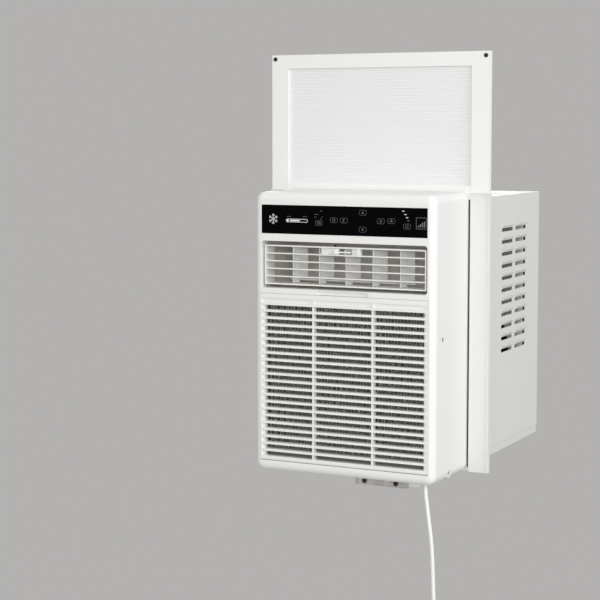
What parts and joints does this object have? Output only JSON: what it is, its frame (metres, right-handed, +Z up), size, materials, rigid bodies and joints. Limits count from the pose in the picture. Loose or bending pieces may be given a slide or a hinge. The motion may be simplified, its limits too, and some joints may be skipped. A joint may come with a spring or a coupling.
{
  "type": "window air conditioner",
  "caption": "Tall narrow room air conditioner for sliding windows, with louvred outlet, slatted tilt-out intake grille, filler kit, outdoor cabinet and mains cord.",
  "frame": {"origin": "centre of the base pan's underside, in the plane of the filler kit's front face", "axes": "+X to the right seen from the room, +Y from the room to outdoors, +Z up"},
  "size_m": [0.454, 0.6053, 1.1765],
  "materials": {
    "cover_white": "fine satin moulded white plastic",
    "filter_plastic": "dark matte moulding",
    "filter_net": "woven net",
    "panel_black": "glossy black film",
    "circuit_board": "green laminate",
    "inner_plastic": "grey moulding",
    "duct_grey": "matte foam grey",
    "tray_grey": "dark grey moulding",
    "steel": "zinc plated",
    "dark_steel": "dark plated",
    "motor_grey": "grey paint",
    "galvanised": "spangled zinc",
    "fan_black": "black moulding",
    "coil_aluminium": "thin fins",
    "copper": "drawn copper tube",
    "compressor_black": "black enamel",
    "rubber_black": "soft",
    "cabinet_paint": "textured off-white paint",
    "kit_cream": "slightly creamy extrusion",
    "filler_translucent": "translucent fluted twin wall",
    "cord_white": "soft white vinyl",
    "tie_black": "hook and loop strap",
    "brass_plated": "nickel brass blades",
    "button_grey": "grey",
    "button_red": "red"
  },
  "bodies": {
    "root": {"front_cover": "cover_white", "control_overlay": "panel_black", "control_board": "circuit_board", "control_box": "inner_plastic", "scroll_housing": "duct_grey", "fan_motor": "motor_grey", "motor_bracket": "galvanised", "bulkhead": "galvanised", "fan_shroud": "inner_plastic", "evaporator_fins": "coil_aluminium", "evaporator_bends": "copper", "drip_tray": "tray_grey", "condenser_fins": "coil_aluminium", "condenser_bends": "copper", "compressor": "compressor_black", "compressor_grommets": "rubber_black", "refrigerant_lines": "copper", "run_capacitor": "steel", "base_pan": "cabinet_paint", "drain_spout": "inner_plastic", "cabinet_wrapper": "cabinet_paint", "rear_guard": "cabinet_paint", "casing_screws": "dark_steel", "kit_frame": "kit_cream", "kit_bottom_rail": "kit_cream", "filler_sheet": "filler_translucent", "kit_side_strips": "kit_cream", "sill_bracket": "galvanised", "cord_guard_block": "cover_white", "mounting_screws": "dark_steel", "strain_relief": "cord_white", "power_cord": "cord_white", "cord_coil": "cord_white", "coil_tie": "tie_black", "plug_body": "cord_white", "plug_blades": "brass_plated"},
    "grille_door": {"intake_grille": "cover_white"},
    "filter": {"filter_frame": "filter_plastic", "filter_mesh": "filter_net"},
    "louvre": {"louvre_frame": "cover_white"},
    "link": {"link_bar": "cover_white"},
    "lever": {"vane_lever": "cover_white"},
    "rotor": {"motor_shaft": "steel", "blower_wheel": "inner_plastic", "condenser_fan": "fan_black"},
    "plug_test": {"plug_test_button": "button_grey"},
    "plug_reset": {"plug_reset_button": "button_red"},
    "vane_1": {"vane_1": "cover_white"},
    "vane_2": {"vane_2": "cover_white"},
    "vane_3": {"vane_3": "cover_white"},
    "vane_4": {"vane_4": "cover_white"},
    "vane_5": {"vane_5": "cover_white"},
    "key_filter": {"button_filter": "panel_black"},
    "key_timer": {"button_timer": "panel_black"},
    "key_sleep": {"button_sleep": "panel_black"},
    "key_up": {"button_up": "panel_black"},
    "key_down": {"button_down": "panel_black"},
    "key_mode": {"button_mode": "panel_black"},
    "key_fan": {"button_fan": "panel_black"},
    "key_power": {"button_power": "panel_black"}
  },
  "joints": [
    {"name": "grille_tilt", "type": "hinge", "parent": "root", "child": "grille_door", "pos_m": [0, -0.1515, 0.023], "axis": [1, 0, 0], "range_deg": [0, 50]},
    {"name": "filter_lift", "type": "slide", "parent": "grille_door", "child": "filter", "axis": [0, 0, 1], "range_m": [0, 0.01]},
    {"name": "louvre_tilt", "type": "hinge", "parent": "root", "child": "louvre", "pos_m": [0, -0.134, 0.38725], "axis": [1, 0, 0], "range_deg": [-12, 12]},
    {"name": "vane_lever_slide", "type": "slide", "parent": "louvre", "child": "lever", "axis": [1, 0, 0], "range_m": [-0.008, 0.008]},
    {"name": "link_slide", "type": "slide", "parent": "louvre", "child": "link", "axis": [1, 0, 0], "range_m": [-0.0076, 0.0076]},
    {"name": "fan_spin", "type": "hinge", "parent": "root", "child": "rotor", "pos_m": [0, 0, 0.185], "axis": [0, 1, 0], "continuous": true},
    {"name": "plug_test_press", "type": "slide", "parent": "root", "child": "plug_test", "axis": [0, 1, 0], "range_m": [0, 0.0014], "stiffness_N_per_m": 400, "springref_m": -0.0005},
    {"name": "plug_reset_press", "type": "slide", "parent": "root", "child": "plug_reset", "axis": [0, 1, 0], "range_m": [0, 0.0014], "stiffness_N_per_m": 400, "springref_m": -0.0005},
    {"name": "vane_1_turn", "type": "hinge", "parent": "louvre", "child": "vane_1", "pos_m": [-0.108, -0.125, 0.387], "axis": [0, 0, 1], "range_deg": [-25.5, 25.5]},
    {"name": "vane_2_turn", "type": "hinge", "parent": "louvre", "child": "vane_2", "pos_m": [-0.054, -0.125, 0.387], "axis": [0, 0, 1], "range_deg": [-25.5, 25.5]},
    {"name": "vane_3_turn", "type": "hinge", "parent": "louvre", "child": "vane_3", "pos_m": [0, -0.125, 0.387], "axis": [0, 0, 1], "range_deg": [-25.5, 25.5]},
    {"name": "vane_4_turn", "type": "hinge", "parent": "louvre", "child": "vane_4", "pos_m": [0.054, -0.125, 0.387], "axis": [0, 0, 1], "range_deg": [-25.5, 25.5]},
    {"name": "vane_5_turn", "type": "hinge", "parent": "louvre", "child": "vane_5", "pos_m": [0.108, -0.125, 0.387], "axis": [0, 0, 1], "range_deg": [-25.5, 25.5]},
    {"name": "key_filter_press", "type": "slide", "parent": "root", "child": "key_filter", "axis": [0, 1, 0], "range_m": [0, 0.0005], "stiffness_N_per_m": 400, "springref_m": -0.0006},
    {"name": "key_timer_press", "type": "slide", "parent": "root", "child": "key_timer", "axis": [0, 1, 0], "range_m": [0, 0.0005], "stiffness_N_per_m": 400, "springref_m": -0.0006},
    {"name": "key_sleep_press", "type": "slide", "parent": "root", "child": "key_sleep", "axis": [0, 1, 0], "range_m": [0, 0.0005], "stiffness_N_per_m": 400, "springref_m": -0.0006},
    {"name": "key_up_press", "type": "slide", "parent": "root", "child": "key_up", "axis": [0, 1, 0], "range_m": [0, 0.0005], "stiffness_N_per_m": 400, "springref_m": -0.0006},
    {"name": "key_down_press", "type": "slide", "parent": "root", "child": "key_down", "axis": [0, 1, 0], "range_m": [0, 0.0005], "stiffness_N_per_m": 400, "springref_m": -0.0006},
    {"name": "key_mode_press", "type": "slide", "parent": "root", "child": "key_mode", "axis": [0, 1, 0], "range_m": [0, 0.0005], "stiffness_N_per_m": 400, "springref_m": -0.0006},
    {"name": "key_fan_press", "type": "slide", "parent": "root", "child": "key_fan", "axis": [0, 1, 0], "range_m": [0, 0.0005], "stiffness_N_per_m": 400, "springref_m": -0.0006},
    {"name": "key_power_press", "type": "slide", "parent": "root", "child": "key_power", "axis": [0, 1, 0], "range_m": [0, 0.0005], "stiffness_N_per_m": 400, "springref_m": -0.0006}
  ],
  "couplings": [
    {"joint": "vane_1_turn", "follows": "vane_lever_slide", "rad_per_m": 54.645},
    {"joint": "vane_2_turn", "follows": "vane_lever_slide", "rad_per_m": 54.645},
    {"joint": "vane_3_turn", "follows": "vane_lever_slide", "rad_per_m": 54.645},
    {"joint": "vane_4_turn", "follows": "vane_lever_slide", "rad_per_m": 54.645},
    {"joint": "vane_5_turn", "follows": "vane_lever_slide", "rad_per_m": 54.645},
    {"joint": "link_slide", "follows": "vane_lever_slide", "ratio": -0.9}
  ]
}
